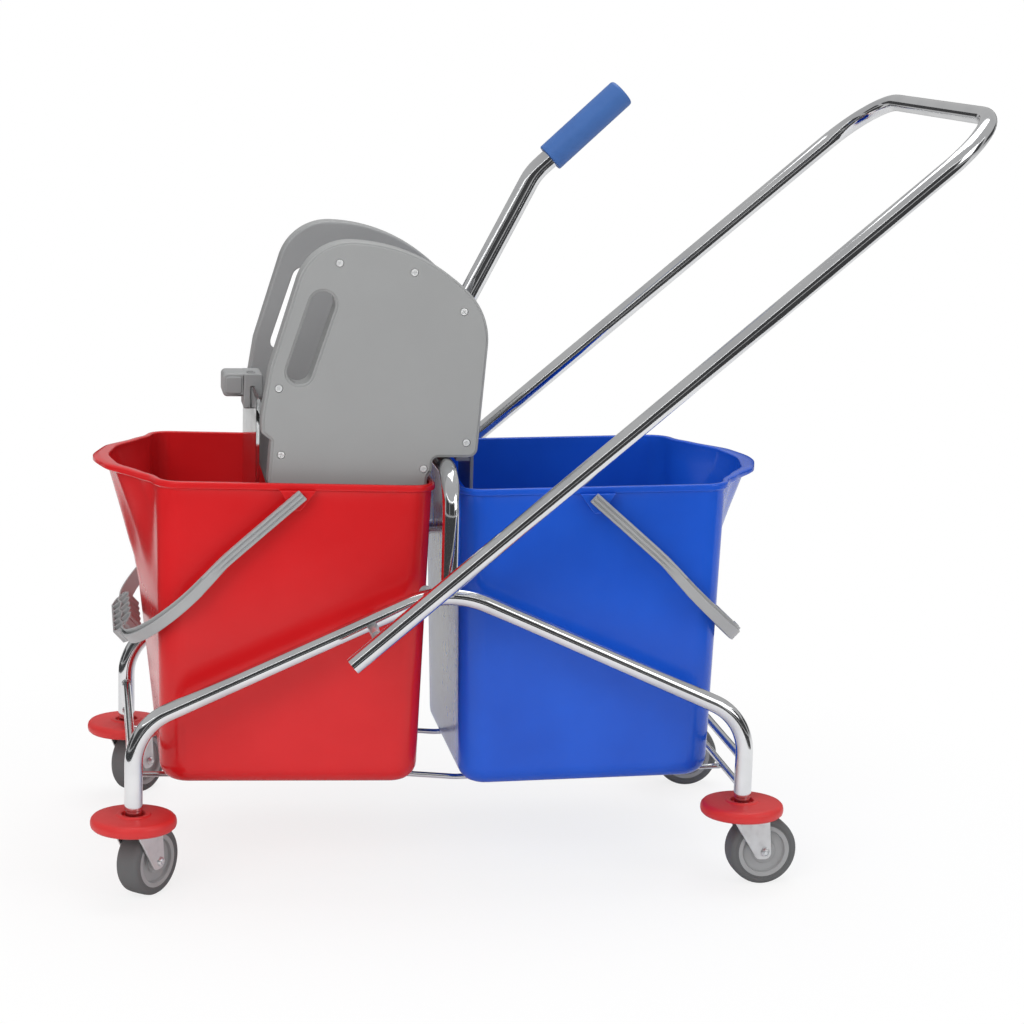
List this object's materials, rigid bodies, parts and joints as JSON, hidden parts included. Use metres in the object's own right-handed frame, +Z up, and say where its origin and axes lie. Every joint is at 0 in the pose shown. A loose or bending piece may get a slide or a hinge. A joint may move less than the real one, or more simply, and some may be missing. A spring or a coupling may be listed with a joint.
{
  "type": "mop bucket trolley",
  "caption": "Wheeled mop trolley with a red and a blue bucket on a chromed tube frame, a lever wringer hooked over the centre arch and a U-shaped push handle.",
  "frame": {"origin": "on the floor, midway between the castor legs", "axes": "+X along the trolley towards the push bar, +Y across it away from the near side, +Z up"},
  "size_m": [0.9441, 0.477, 0.8502],
  "materials": {
    "chromed_tube": "bright chromed steel tube",
    "chromed_rod": "bright chromed steel rod",
    "zinc_fastener": "zinc plated steel",
    "chromed_stem": "turned and chromed steel",
    "red_bumper": "moulded soft red plastic",
    "pressed_fork": "zinc plated pressed steel",
    "axle_steel": "plated steel bolt",
    "hub_plastic": "moulded grey plastic",
    "grey_tyre": "grey non-marking rubber",
    "red_bucket": "moulded polypropylene, glossy",
    "blue_bucket": "moulded polypropylene, glossy",
    "bail_plastic": "moulded grey plastic",
    "wringer_plastic": "moulded grey plastic",
    "cover_plastic": "moulded grey plastic, fine grain",
    "clear_plate": "clear polycarbonate sheet, sawn and polished",
    "clip_plastic": "moulded grey plastic",
    "lever_steel": "bright chromed steel tube",
    "blue_grip": "moulded blue vinyl"
  },
  "bodies": {
    "frame": {"rail_near": "chromed_tube", "rail_far": "chromed_tube", "arch": "chromed_tube", "upper_bar_left": "chromed_rod", "upper_bar_right": "chromed_rod", "lower_bar_left": "chromed_rod", "lower_bar_right": "chromed_rod", "cradle_rod_near": "chromed_rod", "cradle_rod_far": "chromed_rod", "push_handle": "chromed_tube", "handle_bolts": "zinc_fastener", "stem_near_left": "chromed_stem", "stem_near_right": "chromed_stem", "stem_far_left": "chromed_stem", "stem_far_right": "chromed_stem", "bumper_near_left": "red_bumper", "bumper_near_right": "red_bumper", "bumper_far_left": "red_bumper", "bumper_far_right": "red_bumper"},
    "castor_near_left": {"fork_near_left": "pressed_fork", "axle_near_left": "axle_steel"},
    "wheel_near_left": {"hub_near_left": "hub_plastic", "tyre_near_left": "grey_tyre"},
    "castor_near_right": {"fork_near_right": "pressed_fork", "axle_near_right": "axle_steel"},
    "wheel_near_right": {"hub_near_right": "hub_plastic", "tyre_near_right": "grey_tyre"},
    "castor_far_left": {"fork_far_left": "pressed_fork", "axle_far_left": "axle_steel"},
    "wheel_far_left": {"hub_far_left": "hub_plastic", "tyre_far_left": "grey_tyre"},
    "castor_far_right": {"fork_far_right": "pressed_fork", "axle_far_right": "axle_steel"},
    "wheel_far_right": {"hub_far_right": "hub_plastic", "tyre_far_right": "grey_tyre"},
    "bucket_left": {"bucket_left": "red_bucket"},
    "bucket_right": {"bucket_right": "blue_bucket"},
    "bail_left": {"bail_left": "bail_plastic"},
    "bail_right": {"bail_right": "bail_plastic"},
    "wringer": {"wringer_body": "wringer_plastic", "rear_hook": "wringer_plastic", "cover_near": "cover_plastic", "cover_far": "cover_plastic", "cover_screws": "zinc_fastener", "front_plate": "clear_plate", "clip": "clip_plastic"},
    "lever": {"lever_shaft": "lever_steel", "press_plate": "wringer_plastic", "lever": "lever_steel", "lever_grip": "blue_grip"}
  },
  "joints": [
    {"name": "swivel_near_left", "type": "hinge", "parent": "frame", "child": "castor_near_left", "pos_m": [-0.32602, -0.185, 0.0785], "axis": [0, 0, 1], "continuous": true},
    {"name": "spin_near_left", "type": "hinge", "parent": "castor_near_left", "child": "wheel_near_left", "pos_m": [-0.31124, -0.16738, 0.0375], "axis": [-0.766, 0.6428, 0], "continuous": true},
    {"name": "swivel_near_right", "type": "hinge", "parent": "frame", "child": "castor_near_right", "pos_m": [0.32602, -0.185, 0.0785], "axis": [0, 0, 1], "continuous": true},
    {"name": "spin_near_right", "type": "hinge", "parent": "castor_near_right", "child": "wheel_near_right", "pos_m": [0.34897, -0.1834, 0.0375], "axis": [-0.0698, 0.9976, 0], "continuous": true},
    {"name": "swivel_far_left", "type": "hinge", "parent": "frame", "child": "castor_far_left", "pos_m": [-0.32602, 0.185, 0.0785], "axis": [0, 0, 1], "continuous": true},
    {"name": "spin_far_left", "type": "hinge", "parent": "castor_far_left", "child": "wheel_far_left", "pos_m": [-0.31155, 0.20287, 0.0375], "axis": [-0.7771, 0.6293, 0], "continuous": true},
    {"name": "swivel_far_right", "type": "hinge", "parent": "frame", "child": "castor_far_right", "pos_m": [0.32602, 0.185, 0.0785], "axis": [0, 0, 1], "continuous": true},
    {"name": "spin_far_right", "type": "hinge", "parent": "castor_far_right", "child": "wheel_far_right", "pos_m": [0.3489, 0.1826, 0.0375], "axis": [0.1045, 0.9945, 0], "continuous": true},
    {"name": "bucket_left_lift", "type": "slide", "parent": "frame", "child": "bucket_left", "axis": [0, 0, 1], "range_m": [0, 0.35]},
    {"name": "bucket_right_lift", "type": "slide", "parent": "frame", "child": "bucket_right", "axis": [0, 0, 1], "range_m": [0, 0.025]},
    {"name": "bail_left_swing", "type": "hinge", "parent": "bucket_left", "child": "bail_left", "pos_m": [-0.15726, 0, 0.42248], "axis": [0, 1, 0], "range_deg": [0, 115]},
    {"name": "bail_right_swing", "type": "hinge", "parent": "bucket_right", "child": "bail_right", "pos_m": [0.16026, 0, 0.41814], "axis": [0, -1, 0], "range_deg": [0, 130]},
    {"name": "wringer_lift", "type": "slide", "parent": "bucket_left", "child": "wringer", "axis": [0, 0, 1], "range_m": [0, 0.25]},
    {"name": "lever_swing", "type": "hinge", "parent": "wringer", "child": "lever", "pos_m": [-0.01, 0, 0.51701], "axis": [0, 1, 0], "range_deg": [0, 60]}
  ]
}
